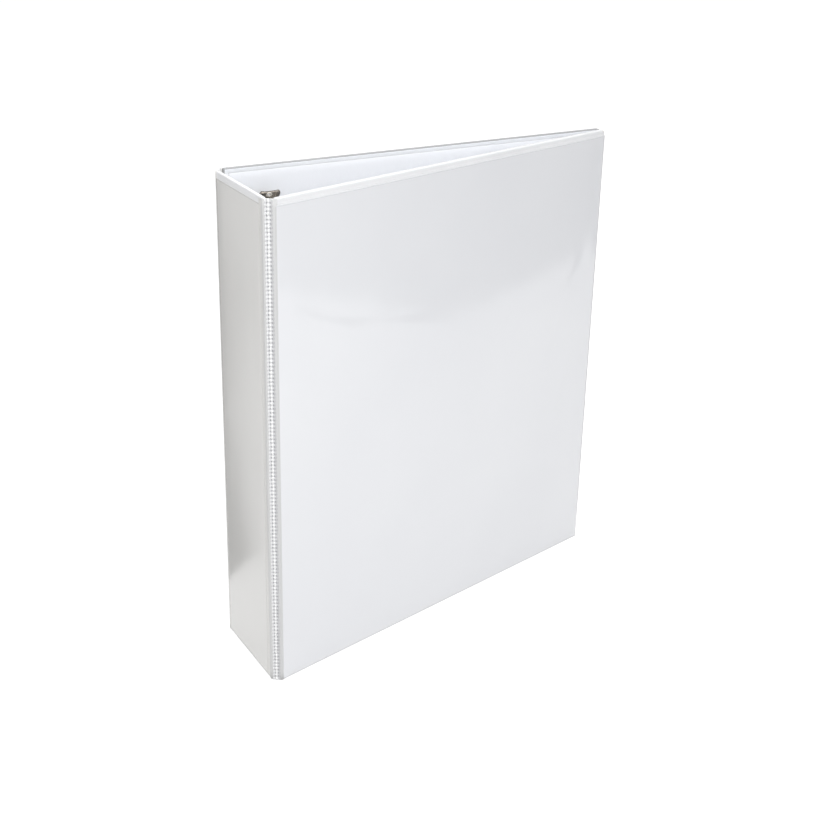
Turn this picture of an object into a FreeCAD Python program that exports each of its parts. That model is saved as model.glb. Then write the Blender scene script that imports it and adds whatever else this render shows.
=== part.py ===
import FreeCAD, Part
import Sketcher
import math
import os

# Ring binder: two flat covers and a spine of vinyl-wrapped board, joined by
# thin welded hinge bands, with a four-ring D mechanism on the rear cover.
# Working frame: x from the spine's outer face to the fore edge, -y the front
# cover, +y the rear cover, +z up.  Everything is moved at the end so that the
# origin is the centre of the bottom of the bounding box.

doc = FreeCAD.newDocument("ring_binder")
V = FreeCAD.Vector

sheet = doc.addObject("Spreadsheet::Sheet", "Params")
PARAMS = [
    # overall
    ("height", 318.0), ("spine_width", 80.0), ("cover_depth", 296.0),
    ("rear_depth", 287.2), ("fore_offset", 34.8), ("fore_gap", 0.5),
    # wall build-up, from the outer face inwards
    ("film_thick", 0.2), ("skin_thick", 0.45), ("board_thick", 1.9),
    ("liner_thick", 0.45), ("corner_radius", 4.0), ("liner_inset", 0.6),
    # clear overlays
    ("film_top", 6.5), ("film_bottom", 1.2), ("film_fore", 3.2), ("film_hinge", 1.0),
    # hinge bands
    ("fold_reach", 5.4), ("fold_clear", 0.6), ("band_thick", 0.9),
    # inside pocket
    ("pocket_depth", 150.0), ("pocket_thick", 0.25), ("pocket_inset", 9.0),
    # ring mechanism
    ("mech_centre", 26.0), ("mech_start", 21.5), ("mech_length", 275.0),
    ("house_half", 10.0), ("house_side", 4.4), ("house_crown", 7.6),
    ("house_sheet", 0.9), ("lip_reach", 2.4),
    ("ring_pitch", 80.0), ("notch_half", 2.7), ("notch_inner", 3.8),
    ("blade_start", 35.5), ("blade_thick", 1.2), ("blade_edge", 8.6),
    ("blade_level", 3.2), ("blade_tilt", 8.0), ("blade_width", 8.2),
    ("wire_radius", 1.8), ("wire_foot", 6.6), ("ring_rise", 46.0),
    ("foot_rise", 6.0), ("foot_bend", 7.0), ("side_bend", 10.0),
    ("slant", 3.6), ("post_bend", 6.5), ("tip_reach", 4.0), ("tip_gap", 0.4),
    ("lever_pin", 5.0), ("pin_radius", 1.2), ("pin_level", 3.5),
    ("pin_clear", 0.05), ("lever_half", 7.4), ("tab_half", 6.0),
    ("rivet_place", 10.0), ("rivet_radius", 1.9), ("rivet_head", 4.0),
    ("rivet_head_thick", 0.6), ("rivet_clear", 0.1),
]
for i, (alias, value) in enumerate(PARAMS, start=1):
    sheet.set("A%d" % i, alias)
    sheet.set("B%d" % i, str(value))
    sheet.setAlias("B%d" % i, alias)
doc.recompute()


def P(alias):
    return float(sheet.get(alias))


H = P("height")
WS = P("spine_width")
WC = P("cover_depth")
WR = P("rear_depth")
T = P("film_thick") + P("skin_thick") + P("board_thick") + P("liner_thick")
SK0 = P("film_thick")
SK1 = SK0 + P("skin_thick")
BD1 = SK1 + P("board_thick")


# ------------------------------------------------------------ plan geometry
def lean(depth, target):
    """Angle of a cover so that its inner fore corner is `target` inwards
    from its own spine corner."""
    lo, hi = 0.0, 0.6
    for _ in range(80):
        mid = 0.5 * (lo + hi)
        if depth * math.sin(mid) + T * math.cos(mid) > target:
            hi = mid
        else:
            lo = mid
    return 0.5 * (lo + hi)


BF = lean(WC, WS / 2 + P("fore_offset") - P("fore_gap") / 2)
BR = lean(WR, WS / 2 - P("fore_offset") - P("fore_gap") / 2)

uF = V(math.cos(BF), math.sin(BF), 0)
nF = V(-math.sin(BF), math.cos(BF), 0)
uR = V(math.cos(BR), -math.sin(BR), 0)
nR = V(-math.sin(BR), -math.cos(BR), 0)
Z = V(0, 0, 1)
A = V(0, -WS / 2, 0)
B = V(0, WS / 2, 0)
mid = P("band_thick") / 2


def fold_points(corner, u, n, side):
    """Fold lines of one hinge band: p1 at the spine, p2 at the cover."""
    q = corner + n * mid
    t = (mid - q.x) / u.x
    v = q + u * t
    p1 = v + V(0, side, 0) * P("fold_reach")
    p2 = v + u * P("fold_reach")
    return p1, p2


F1, F2 = fold_points(A, uF, nF, 1)
R1, R2 = fold_points(B, uR, nR, -1)


def placed(x, y, z, base):
    m = FreeCAD.Matrix(x.x, y.x, z.x, base.x,
                       x.y, y.y, z.y, base.y,
                       x.z, y.z, z.z, base.z,
                       0, 0, 0, 1)
    return FreeCAD.Placement(m)


clear = P("fold_clear")
# local frames: X along the panel, Y up or down it, Z inwards from the outer face
f_origin = F2 + uF * clear - nF * mid
r_origin = R2 + uR * clear - nR * mid
PL_FRONT = placed(uF, Z * -1, nF, f_origin + Z * H)
PL_REAR = placed(uR, Z, nR, r_origin)
COVER_F = WC - (f_origin - A).dot(uF)
COVER_R = WR - (r_origin - B).dot(uR)
SPINE_Y0 = F1.y + clear
SPINE_L = (R1.y - clear) - SPINE_Y0
PL_SPINE = placed(V(0, 1, 0), Z, V(1, 0, 0), V(0, SPINE_Y0, 0))

dF = (F2 - F1)
CH_F = dF.Length
dF.normalize()
dR = (R2 - R1)
CH_R = dR.Length
dR.normalize()
nBF = dF.cross(Z * -1)
nBR = dR.cross(Z)
PL_BAND_F = placed(dF, Z * -1, nBF, F1 + dF * clear - nBF * mid + Z * H)
PL_BAND_R = placed(dR, Z, nBR, R1 + dR * clear - nBR * mid)
# mechanism frame on the rear cover: X away from the spine, Y up off the inner
# face of the cover, Z downwards from the top of the binder
PL_MECH = placed(uR, nR, Z * -1, r_origin + nR * T + uR * P("mech_centre") + Z * H)

derived = [("front_length", COVER_F), ("rear_length", COVER_R),
           ("spine_length", SPINE_L), ("front_band_width", CH_F - 2 * clear),
           ("rear_band_width", CH_R - 2 * clear), ("wall_thick", T)]
row = len(PARAMS) + 2
for alias, value in derived:
    sheet.set("A%d" % row, alias)
    sheet.set("B%d" % row, repr(round(value, 6)))
    sheet.setAlias("B%d" % row, alias)
    row += 1
doc.recompute()

subparts = []


def body(label):
    b = doc.addObject("PartDesign::Body", label)
    b.Label = label
    subparts.append(b)
    return b


def plane(b, role):
    for o in b.Origin.OriginFeatures:
        if o.Role == role:
            return o


def sketch(b, name, role="XY_Plane", x=None, y=None, z=None):
    s = b.newObject("Sketcher::SketchObject", name)
    s.AttachmentSupport = [(plane(b, role), "")]
    s.MapMode = "FlatFace"
    for axis, e in (("x", x), ("y", y), ("z", z)):
        if e is not None:
            s.setExpression("AttachmentOffset.Base." + axis, e)
    return s


def rectangle(s, width, height, w0=10.0, h0=10.0):
    """Rectangle from the sketch origin, both sizes bound to the sheet."""
    pts = [(0, 0), (w0, 0), (w0, h0), (0, h0)]
    for i in range(4):
        a, c = pts[i], pts[(i + 1) % 4]
        s.addGeometry(Part.LineSegment(V(a[0], a[1], 0), V(c[0], c[1], 0)), False)
    for i in range(4):
        s.addConstraint(Sketcher.Constraint("Coincident", i, 2, (i + 1) % 4, 1))
    s.addConstraint(Sketcher.Constraint("Horizontal", 0))
    s.addConstraint(Sketcher.Constraint("Vertical", 1))
    s.addConstraint(Sketcher.Constraint("Horizontal", 2))
    s.addConstraint(Sketcher.Constraint("Vertical", 3))
    s.addConstraint(Sketcher.Constraint("Coincident", 0, 1, -1, 1))
    k = s.addConstraint(Sketcher.Constraint("DistanceX", 0, 1, 0, 2, w0))
    s.renameConstraint(k, "width")
    s.setExpression("Constraints.width", width)
    k = s.addConstraint(Sketcher.Constraint("DistanceY", 1, 1, 1, 2, h0))
    s.renameConstraint(k, "tall")
    s.setExpression("Constraints.tall", height)


def outline(s, items):
    """Closed outline of lines and arcs given as (kind, points...)."""
    n0 = s.GeometryCount
    for it in items:
        if it[0] == "line":
            s.addGeometry(Part.LineSegment(V(*it[1], 0), V(*it[2], 0)), False)
        else:
            s.addGeometry(Part.Arc(V(*it[1], 0), V(*it[2], 0), V(*it[3], 0)), False)
    for k in range(n0, s.GeometryCount):
        s.addConstraint(Sketcher.Constraint("Block", k))


def polygon(s, pts):
    outline(s, [("line", pts[i], pts[(i + 1) % len(pts)]) for i in range(len(pts))])


def tongue(s, length, tall, r):
    """Rectangle from the sketch origin with its two far corners rounded."""
    q = r * (1 - math.sqrt(0.5))
    outline(s, [
        ("line", (0, 0), (length - r, 0)),
        ("arc", (length - r, 0), (length - q, q), (length, r)),
        ("line", (length, r), (length, tall - r)),
        ("arc", (length, tall - r), (length - q, tall - q), (length - r, tall)),
        ("line", (length - r, tall), (0, tall)),
        ("line", (0, tall), (0, 0)),
    ])


def pad(b, s, name, length, reverse=False):
    f = b.newObject("PartDesign::Pad", name)
    f.Profile = s
    f.Type = 0
    f.Length = 1.0
    f.setExpression("Length", length)
    f.Reversed = reverse
    s.Visibility = False
    doc.recompute()
    return f


def pocket(b, s, name, length, reverse=True):
    """Cut away from the sketch; reverse=True cuts along the sketch normal."""
    before = b.Shape.Volume
    f = b.newObject("PartDesign::Pocket", name)
    f.Profile = s
    f.Type = 0
    f.Length = 1.0
    f.setExpression("Length", length)
    f.Reversed = reverse
    s.Visibility = False
    doc.recompute()
    if not b.Shape.Volume < before - 1e-6:
        raise RuntimeError("pocket %s in %s removed nothing %s %s" % (name, b.Label, f.State, s.State))
    return f


def fillet(b, feature, radius, test, name):
    """Round the edges of `feature` that `test` picks out."""
    names = []
    for i, e in enumerate(feature.Shape.Edges, start=1):
        if test(e):
            names.append("Edge%d" % i)
    if not names:
        raise RuntimeError("no edges to round on " + name)
    f = b.newObject("PartDesign::Fillet", name)
    f.Base = (feature, names)
    f.Radius = 1.0
    f.setExpression("Radius", radius)
    doc.recompute()
    if f.Shape.isNull() or f.Shape.Volume <= 0:
        raise RuntimeError("rounding %s in %s failed: %s" % (name, b.Label, f.getStatusString()))
    return f


def along(e, direction):
    if len(e.Vertexes) != 2 or e.Curve.TypeId != "Part::GeomLine":
        return False
    d = e.Vertexes[1].Point - e.Vertexes[0].Point
    return abs(abs(d.normalize().dot(direction)) - 1) < 1e-6


def fore_corners(length):
    return lambda e: along(e, V(0, 0, 1)) and e.CenterOfMass.x > length - 1.0


# --------------------------------------------------------------- flat panels
def panel(prefix, length_name, length, pl, top_low, covers):
    """Board, outer skin (a shallow tray round the board), liner and clear
    overlay of one panel.  top_low is True when the local Y runs downwards."""
    # outer skin
    b = body(prefix + "_outer_skin")
    s = sketch(b, "SkinOutline", z="Params.film_thick")
    rectangle(s, "Params." + length_name, "Params.height")
    f = pad(b, s, "SkinPad", "Params.skin_thick + Params.board_thick")
    if covers:
        f = fillet(b, f, "Params.corner_radius", fore_corners(length), "SkinCorners")
    s = sketch(b, "BoardRecess", x="Params.skin_thick", y="Params.skin_thick",
               z="Params.film_thick + Params.skin_thick")
    if covers:
        k = P("skin_thick")
        tongue(s, length - 2 * k, H - 2 * k, P("corner_radius") - k)
    else:
        rectangle(s, "Params." + length_name + " - 2 * Params.skin_thick",
                  "Params.height - 2 * Params.skin_thick")
    pocket(b, s, "RecessPocket", "Params.board_thick + 1")
    b.Placement = pl
    skin = b
    # board
    b = body(prefix + "_board")
    s = sketch(b, "BoardOutline", x="Params.skin_thick", y="Params.skin_thick",
               z="Params.film_thick + Params.skin_thick")
    rectangle(s, "Params." + length_name + " - 2 * Params.skin_thick",
              "Params.height - 2 * Params.skin_thick")
    pad(b, s, "BoardPad", "Params.board_thick")
    b.Placement = pl
    board = b
    # liner
    b = body(prefix + "_liner")
    s = sketch(b, "LinerOutline", x="Params.liner_inset", y="Params.liner_inset",
               z="Params.film_thick + Params.skin_thick + Params.board_thick")
    rectangle(s, "Params." + length_name + " - 2 * Params.liner_inset",
              "Params.height - 2 * Params.liner_inset")
    f = pad(b, s, "LinerPad", "Params.liner_thick")
    if covers:
        fillet(b, f, "Params.corner_radius - Params.liner_inset",
               fore_corners(length - 0.6), "LinerCorners")
    b.Placement = pl
    liner = b
    # clear overlay, open along its top edge
    b = body(prefix + "_overlay")
    y0 = "Params.film_top" if top_low else "Params.film_bottom"
    x0 = "Params.film_hinge"
    s = sketch(b, "FilmOutline", x=x0, y=y0)
    far = "Params.film_fore" if covers else "Params.film_hinge"
    rectangle(s, "Params." + length_name + " - Params.film_hinge - " + far,
              "Params.height - Params.film_top - Params.film_bottom")
    pad(b, s, "FilmPad", "Params.film_thick")
    b.Placement = pl
    return skin, board, liner, b


panel("spine", "spine_length", SPINE_L, PL_SPINE, False, False)
panel("front", "front_length", COVER_F, PL_FRONT, True, True)
r_skin, r_board, r_liner, r_film = panel("rear", "rear_length", COVER_R, PL_REAR,
                                         False, True)

# board corners are cut back so that they stay inside the rounded skin
for name, length in (("front_board", COVER_F), ("rear_board", COVER_R)):
    b = doc.getObject(name)
    tip = b.Tip
    k = P("skin_thick")
    fillet(b, tip, "Params.corner_radius - Params.skin_thick",
           fore_corners(length - k), "BoardCorners")

# ---------------------------------------------------------------- hinge bands
for name, wname, pl in (("front_hinge_band", "front_band_width", PL_BAND_F),
                        ("rear_hinge_band", "rear_band_width", PL_BAND_R)):
    b = body(name)
    s = sketch(b, "BandOutline")
    rectangle(s, "Params." + wname, "Params.height")
    pad(b, s, "BandPad", "Params.band_thick")
    b.Placement = pl

# --------------------------------------------------- pocket inside the front
b = body("front_inner_pocket")
s = sketch(b, "PocketOutline", x="Params.pocket_inset",
           y="Params.height - Params.pocket_depth - 3", z="Params.wall_thick")
rectangle(s, "Params.front_length - Params.pocket_inset - 4", "Params.pocket_depth")
pad(b, s, "PocketPad", "Params.pocket_thick")
b.Placement = PL_FRONT

# ------------------------------------------------------------ rivet openings
riv_z = [P("mech_start") + P("rivet_place"),
         P("mech_start") + P("mech_length") - P("rivet_place")]
riv_r = P("rivet_radius") + P("rivet_clear")
head_r = P("rivet_head") + P("rivet_clear")


def circles(s, spots, radius_expr, r0):
    for cx, cy in spots:
        k = s.addGeometry(Part.Circle(V(cx, cy, 0), V(0, 0, 1), r0), False)
        c = s.addConstraint(Sketcher.Constraint("Radius", k, r0))
        s.renameConstraint(c, "radius%d" % k)
        s.setExpression("Constraints.radius%d" % k, radius_expr)
        s.addConstraint(Sketcher.Constraint("DistanceY", -1, 1, k, 3, cy))
        if cx:
            s.addConstraint(Sketcher.Constraint("DistanceX", -1, 1, k, 3, cx))
        else:
            s.addConstraint(Sketcher.Constraint("PointOnObject", k, 3, -2))


spots = [(P("mech_centre"), H - zz) for zz in riv_z]
for b, z0 in ((r_skin, "Params.film_thick"), (r_board, "Params.film_thick"),
              (r_liner, "Params.film_thick")):
    s = sketch(b, "RivetHoles", z=z0)
    circles(s, spots, "Params.rivet_radius + Params.rivet_clear", riv_r)
    pocket(b, s, "RivetPocket", "Params.wall_thick")
s = sketch(r_skin, "RivetHeadSeats", z="Params.film_thick")
circles(s, spots, "Params.rivet_head + Params.rivet_clear", head_r)
pocket(r_skin, s, "RivetSeatPocket", "Params.rivet_head_thick + 0.05")
s = sketch(r_board, "RivetHeadSeats", z="Params.film_thick")
circles(s, spots, "Params.rivet_head + Params.rivet_clear", head_r)
pocket(r_board, s, "RivetSeatPocket", "Params.rivet_head_thick + 0.05")

# ------------------------------------------------------------------- housing
hh, hs, hc = P("house_half"), P("house_side"), P("house_crown")
st, lip = P("house_sheet"), P("lip_reach")
hi = hh - st
b = body("ring_housing")
s = sketch(b, "HousingSection", z="Params.mech_start")
outline(s, [
    ("line", (-hh, 0), (-hh + lip, 0)),
    ("line", (-hh + lip, 0), (-hh + lip, st)),
    ("line", (-hh + lip, st), (-hi, st)),
    ("line", (-hi, st), (-hi, hs - 0.5)),
    ("arc", (-hi, hs - 0.5), (0, hc - st), (hi, hs - 0.5)),
    ("line", (hi, hs - 0.5), (hi, st)),
    ("line", (hi, st), (hh - lip, st)),
    ("line", (hh - lip, st), (hh - lip, 0)),
    ("line", (hh - lip, 0), (hh, 0)),
    ("line", (hh, 0), (hh, hs)),
    ("arc", (hh, hs), (0, hc), (-hh, hs)),
    ("line", (-hh, hs), (-hh, 0)),
])
pad(b, s, "HousingPad", "Params.mech_length")
mid_z = P("mech_start") + P("mech_length") / 2
ring_z = [mid_z + k * P("ring_pitch") for k in (-1.5, -0.5, 0.5, 1.5)]
# ring notches and open ends, cut downwards from above the crown
s = sketch(b, "RingNotches", role="XZ_Plane")
ni, nh = P("notch_inner"), P("notch_half")
for zz in ring_z:
    for sx in (-1, 1):
        polygon(s, [(sx * ni, zz - nh), (sx * (hh + 1), zz - nh),
                    (sx * (hh + 1), zz + nh), (sx * ni, zz + nh)])
s.AttachmentOffset = FreeCAD.Placement(V(0, 0, -(st + 0.6)), FreeCAD.Rotation())
pocket(b, s, "NotchPocket", "Params.house_crown", reverse=False)
s = sketch(b, "LeverCutouts", role="XZ_Plane")
z0, z1 = P("mech_start"), P("mech_start") + P("mech_length")
lh = P("lever_half") + 0.6
for a0, a1 in ((z0 - 1, z0 + 7.4), (z1 - 7.4, z1 + 1)):
    polygon(s, [(-lh, a0), (lh, a0), (lh, a1), (-lh, a1)])
s.AttachmentOffset = FreeCAD.Placement(V(0, 0, -(st + 0.6)), FreeCAD.Rotation())
pocket(b, s, "CutoutPocket", "Params.house_crown", reverse=False)
s = sketch(b, "HousingRivetHoles", role="XZ_Plane")
circles(s, [(0, zz) for zz in riv_z], "Params.rivet_radius + Params.rivet_clear", riv_r)
pocket(b, s, "HousingRivetPocket", "Params.house_crown + 1", reverse=False)
housing_walls = b.Tip.Shape.copy()
b.Placement = PL_MECH

# rivets: head under the overlay, shank, domed end on the crown of the housing
rr, rh, rt = P("rivet_radius"), P("rivet_head"), P("rivet_head_thick")
top = P("house_crown")
solids = []
for zz in riv_z:
    prof = [V(0, -T + SK0, 0), V(rh, -T + SK0, 0), V(rh, -T + SK0 + rt, 0),
            V(rr, -T + SK0 + rt, 0), V(rr, top + 0.05, 0), V(3.2, top + 0.05, 0),
            V(3.0, top + 0.7, 0), V(2.0, top + 1.3, 0), V(0, top + 1.5, 0),
            V(0, -T + SK0, 0)]
    face = Part.Face(Part.makePolygon(prof))
    sol = face.revolve(V(0, 0, 0), V(0, 1, 0), 360)
    sol.translate(V(0, 0, zz))
    solids.append(sol)
rv = doc.addObject("Part::Feature", "mechanism_rivets")
rv.Label = "mechanism_rivets"
rv.Shape = Part.makeCompound(solids)
rv.Placement = PL_MECH
subparts.append(rv)

# lever pins, between the side walls of the housing
pin_z = [z0 + P("lever_pin"), z1 - P("lever_pin")]
pins = []
for zz in pin_z:
    # each pin is trimmed to the curved inside of the walls it bears on
    pin = Part.makeCylinder(P("pin_radius"), 2 * hi, V(-hi, P("pin_level"), zz), V(1, 0, 0))
    pins.append(pin.cut(housing_walls).Solids[0])
pn = doc.addObject("Part::Feature", "lever_pins")
pn.Label = "lever_pins"
pn.Shape = Part.makeCompound(pins)
pn.Placement = PL_MECH
subparts.append(pn)

# -------------------------------------------------------------------- blades
be, bl, bt = P("blade_edge"), P("blade_level"), P("blade_thick")
bw, tilt = P("blade_width"), math.radians(P("blade_tilt"))
for name, sx in (("spine_side_blade", -1), ("fore_side_blade", 1)):
    b = body(name)
    s = sketch(b, "BladeSection", z="Params.blade_start")
    d = (-sx * math.cos(tilt), -math.sin(tilt))
    n = (-d[1] * 1.0, d[0] * 1.0)
    if n[1] < 0:
        n = (-n[0], -n[1])
    e0 = (sx * be, bl)
    e1 = (e0[0] + d[0] * bw, e0[1] + d[1] * bw)
    k = bt / 2
    polygon(s, [(e0[0] - n[0] * k, e0[1] - n[1] * k), (e1[0] - n[0] * k, e1[1] - n[1] * k),
                (e1[0] + n[0] * k, e1[1] + n[1] * k), (e0[0] + n[0] * k, e0[1] + n[1] * k)])
    pad(b, s, "BladePad", "2 * (Params.mech_start + Params.mech_length / 2 - Params.blade_start)")
    b.Placement = PL_MECH

# ---------------------------------------------------------------- ring halves
wf, wr = P("wire_foot"), P("wire_radius")
rise, pb, tr, tg = P("ring_rise"), P("post_bend"), P("tip_reach"), P("tip_gap")
foot = 2.4
turn = math.radians(50.0)


def side_path(sx, tip, bend):
    """Wire of one ring half: up out of the blade, outwards, straight up, then
    over to the tip at x = tip.  A bend of None rounds all the way to the tip."""
    y0, r1, r2, sl = P("foot_rise"), P("foot_bend"), P("side_bend"), P("slant")
    items = [("line", (sx * wf, foot), (sx * wf, y0))]
    cx, cy = wf + r1, y0

    def on(cx, cy, r, ang):
        return (sx * (cx + r * math.cos(ang)), cy + r * math.sin(ang))
    a = on(cx, cy, r1, math.pi)
    m_ = on(cx, cy, r1, math.pi - turn / 2)
    e = on(cx, cy, r1, math.pi - turn)
    items.append(("arc", a, m_, e))
    f_ = (e[0] + sx * math.sin(turn) * sl, e[1] + math.cos(turn) * sl)
    items.append(("line", e, f_))
    c2x = abs(f_[0]) - r2 * math.cos(turn)
    c2y = f_[1] + r2 * math.sin(turn)
    g = on(c2x, c2y, r2, 0.0)
    items.append(("arc", f_, on(c2x, c2y, r2, -turn / 2), g))
    side = abs(g[0])
    rad = side - abs(tip) if bend is None else bend
    k = (sx * side, rise - rad)
    items.append(("line", g, k))
    c3x = side - rad
    q = (sx * c3x, rise)
    items.append(("arc", k, on(c3x, rise - rad, rad, math.pi / 4), q))
    if bend is not None:
        items.append(("line", q, (tip, rise)))
    return items


for i, zz in enumerate(ring_z, start=1):
    for kind in ("curved", "post"):
        b = body("ring_%s_half_%d" % (kind, i))
        path = sketch(b, "WirePath")
        path.AttachmentOffset = FreeCAD.Placement(V(0, 0, zz), FreeCAD.Rotation())
        if kind == "post":
            outline(path, side_path(1, -tr, pb))
        else:
            outline(path, side_path(-1, -tr - tg, None))
        sec = sketch(b, "WireSection", role="XZ_Plane")
        sec.AttachmentOffset = FreeCAD.Placement(V(0, 0, -foot), FreeCAD.Rotation())
        sx = wf if kind == "post" else -wf
        k = sec.addGeometry(Part.Circle(V(sx, zz, 0), V(0, 0, 1), wr), False)
        c = sec.addConstraint(Sketcher.Constraint("Radius", k, wr))
        sec.renameConstraint(c, "wire")
        sec.setExpression("Constraints.wire", "Params.wire_radius")
        sec.addConstraint(Sketcher.Constraint("DistanceX", -1, 1, k, 3, sx))
        sec.addConstraint(Sketcher.Constraint("DistanceY", -1, 1, k, 3, zz))
        doc.recompute()
        pipe = b.newObject("PartDesign::AdditivePipe", "WirePipe")
        pipe.Profile = sec
        pipe.Spine = path
        path.Visibility = False
        sec.Visibility = False
        doc.recompute()
        b.Placement = PL_MECH

# -------------------------------------------------------------------- levers
ph, pl_ = P("pin_radius") + P("pin_clear"), P("pin_level")
lever_side = [(13.4, 2.3), (8.4, 2.3), (6.9, 4.6), (5.0, 5.4), (2.4, 5.2),
              (-1.5, 8.5), (-8.2, 11.4), (-8.9, 10.9), (-8.7, 10.2), (-2.2, 7.3),
              (2.0, 3.9), (3.0, 2.1), (6.0, 1.6), (7.6, 1.2), (13.4, 1.2)]
for name, base, sg in (("upper_lever", z0, 1), ("lower_lever", z1, -1)):
    b = body(name)
    # side view in the YZ plane: sketch x = local Y, sketch y = local Z
    s = sketch(b, "LeverSide", role="YZ_Plane")
    s.setExpression("AttachmentOffset.Base.z", "-Params.lever_half")
    polygon(s, [(w, base + sg * a) for a, w in lever_side])
    pin_c = base + sg * P("lever_pin")
    k = s.addGeometry(Part.Circle(V(pl_, pin_c, 0), V(0, 0, 1), ph), False)
    s.addConstraint(Sketcher.Constraint("Block", k))
    f = pad(b, s, "LeverPad", "2 * Params.lever_half")
    # fork that clears the rivet
    s = sketch(b, "LeverFork", role="XZ_Plane")
    fz0, fz1 = base + sg * 7.3, base + sg * 14.5
    polygon(s, [(-2.4, fz0), (2.4, fz0), (2.4, fz1), (-2.4, fz1)])
    far_ = P("lever_half") + 1
    for sx in (-1, 1):
        polygon(s, [(sx * 4.8, fz0), (sx * far_, fz0), (sx * far_, fz1), (sx * 4.8, fz1)])
    pocket(b, s, "ForkPocket", "Params.house_crown + 8", reverse=False)
    # narrowed, rounded thumb tab
    s = sketch(b, "TabTrim", role="XZ_Plane")
    th = P("tab_half")
    far = P("lever_half") + 1
    e0, e1 = base - sg * 1.0, base - sg * 10.0
    outer = base - sg * 8.95
    for sx in (-1, 1):
        a = (sx * th, e0)
        bpt = (sx * th, outer + sg * 4.0)
        mpt = (sx * (th - 4.0 + 4.0 * math.cos(math.pi / 4)),
               outer + sg * (4.0 - 4.0 * math.sin(math.pi / 4)))
        cpt = (sx * (th - 4.0), outer)
        dpt = (sx * (th - 4.0), e1)
        ept = (sx * far, e1)
        fpt = (sx * far, e0)
        outline(s, [("line", a, bpt), ("arc", bpt, mpt, cpt), ("line", cpt, dpt),
                    ("line", dpt, ept), ("line", ept, fpt), ("line", fpt, a)])
    pocket(b, s, "TabPocket", "Params.house_crown + 8", reverse=False)
    b.Placement = PL_MECH

doc.recompute()

# ------------------------------------------------- origin, checks and export
lo = V(1e9, 1e9, 1e9)
hi_ = V(-1e9, -1e9, -1e9)
for o in subparts:
    for v in o.Shape.Vertexes:
        for k in ("x", "y", "z"):
            c = getattr(v.Point, k)
            if c < getattr(lo, k):
                setattr(lo, k, c)
            if c > getattr(hi_, k):
                setattr(hi_, k, c)
shift = V(-(lo.x + hi_.x) / 2, -(lo.y + hi_.y) / 2, -lo.z)
for o in subparts:
    p = o.Placement
    o.Placement = FreeCAD.Placement(p.Base + shift, p.Rotation)
doc.recompute()

bad = []
for o in doc.Objects:
    st_ = [str(x) for x in o.State]
    if "Invalid" in st_ or "Error" in st_:
        bad.append(o.Name)
for o in subparts:
    if o.Shape.isNull() or not o.Shape.isValid() or o.Shape.Volume <= 0:
        bad.append(o.Label)
if bad:
    raise RuntimeError("bad objects: %s" % bad)

os.makedirs("parts", exist_ok=True)
for o in subparts:
    o.Shape.exportStep("parts/%s.step" % o.Label)
    print("%-24s %9.1f mm3 solids %d" % (o.Label, o.Shape.Volume, len(o.Shape.Solids)))


def moved(v):
    q = v + shift
    return [round(q.x / 1000, 6), round(q.y / 1000, 6), round(q.z / 1000, 6)]


print("box", [round(x, 3) for x in (lo.x + shift.x, lo.y + shift.y, 0, hi_.x + shift.x,
                                    hi_.y + shift.y, hi_.z - lo.z)])
print("shift", shift)
print("lean deg", math.degrees(BF), math.degrees(BR))
print("front fold p1 p2", moved(F1), moved(F2))
print("rear fold p1 p2", moved(R1), moved(R2))
print("cover lengths", COVER_F, COVER_R, "spine", SPINE_L, "bands", CH_F, CH_R)
for label, x, y in (("spine blade pivot", -be, bl), ("fore blade pivot", be, bl)):
    print(label, moved(PL_MECH.multVec(V(x, y, mid_z))))
for label, zz in zip(("upper pin", "lower pin"), pin_z):
    print(label, moved(PL_MECH.multVec(V(0, pl_, zz))))
print("uR", list(uR), "nR", list(nR), "uF", list(uF), "nF", list(nF))
print("mech frame", moved(PL_MECH.Base))
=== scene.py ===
import bpy
import bmesh
import math
import random
from mathutils import Vector, Matrix, noise


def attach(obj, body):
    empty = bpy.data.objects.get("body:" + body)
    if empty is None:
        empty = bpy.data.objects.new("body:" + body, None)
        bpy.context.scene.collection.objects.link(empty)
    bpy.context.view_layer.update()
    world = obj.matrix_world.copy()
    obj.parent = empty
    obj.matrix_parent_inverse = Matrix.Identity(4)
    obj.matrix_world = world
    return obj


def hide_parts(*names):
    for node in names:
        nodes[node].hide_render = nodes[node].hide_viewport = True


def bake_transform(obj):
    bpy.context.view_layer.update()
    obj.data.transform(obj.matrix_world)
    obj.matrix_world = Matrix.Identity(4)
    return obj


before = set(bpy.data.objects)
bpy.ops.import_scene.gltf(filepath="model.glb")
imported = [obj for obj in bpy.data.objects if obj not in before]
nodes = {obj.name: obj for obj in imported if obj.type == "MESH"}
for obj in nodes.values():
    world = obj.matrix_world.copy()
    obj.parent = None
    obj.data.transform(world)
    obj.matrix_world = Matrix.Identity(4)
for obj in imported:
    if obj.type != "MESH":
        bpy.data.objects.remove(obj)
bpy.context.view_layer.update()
scene = bpy.context.scene
MM = 0.001

# ------------------------------------------------------------------- camera
cam_pos = Vector((-452.704, -739.734, 525.202)) * MM
yaw, pitch, roll = math.radians(30.438), math.radians(-22.489), math.radians(1.457)
F_PX, CX, CY = 1410.37, 419.74, 383.04
cam_data = bpy.data.cameras.new("camera")
cam = bpy.data.objects.new("camera", cam_data)
scene.collection.objects.link(cam)
scene.camera = cam
cam_data.sensor_width = 36.0
cam_data.lens = F_PX / 815.0 * 36.0
cam_data.shift_x = 0.5 - CX / 815.0
cam_data.shift_y = CY / 815.0 - 0.5
cam_data.clip_start = 0.01
cam_data.clip_end = 60.0
cam_data.dof.use_dof = False
fwd = Vector((math.cos(pitch) * math.sin(yaw), math.cos(pitch) * math.cos(yaw), math.sin(pitch)))
right = Vector((math.cos(yaw), -math.sin(yaw), 0.0))
up = right.cross(fwd)
r2 = right * math.cos(roll) + up * math.sin(roll)
u2 = -right * math.sin(roll) + up * math.cos(roll)
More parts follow.
